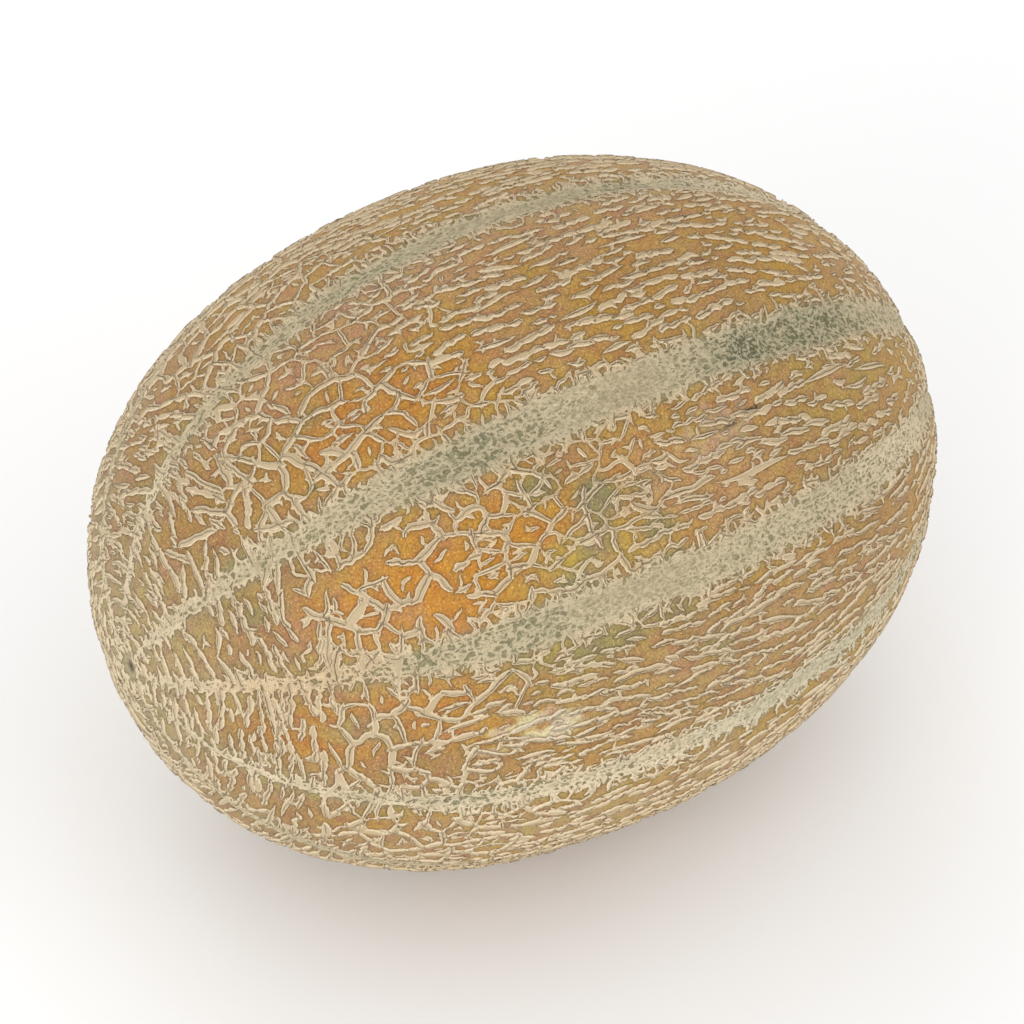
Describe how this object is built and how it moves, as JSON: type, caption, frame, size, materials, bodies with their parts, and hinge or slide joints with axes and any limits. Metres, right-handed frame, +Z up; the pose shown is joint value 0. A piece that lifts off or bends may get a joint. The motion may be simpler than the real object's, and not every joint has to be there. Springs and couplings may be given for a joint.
{
  "type": "netted cantaloupe melon",
  "caption": "Whole oval netted cantaloupe melon lying on its side, with shallow sutures from pole to pole and a small flat ground spot that it rests on.",
  "frame": {"origin": "middle of the flat ground spot on the underside, where the fruit rests", "axes": "+X along the fruit's long axis from the blossom end to the stem end, +Z up, -Y the side that faces the viewer"},
  "size_m": [0.1736, 0.1318, 0.1308],
  "materials": {
    "rind": "satin"
  },
  "bodies": {
    "root": {"melon": "rind"}
  },
  "joints": []
}
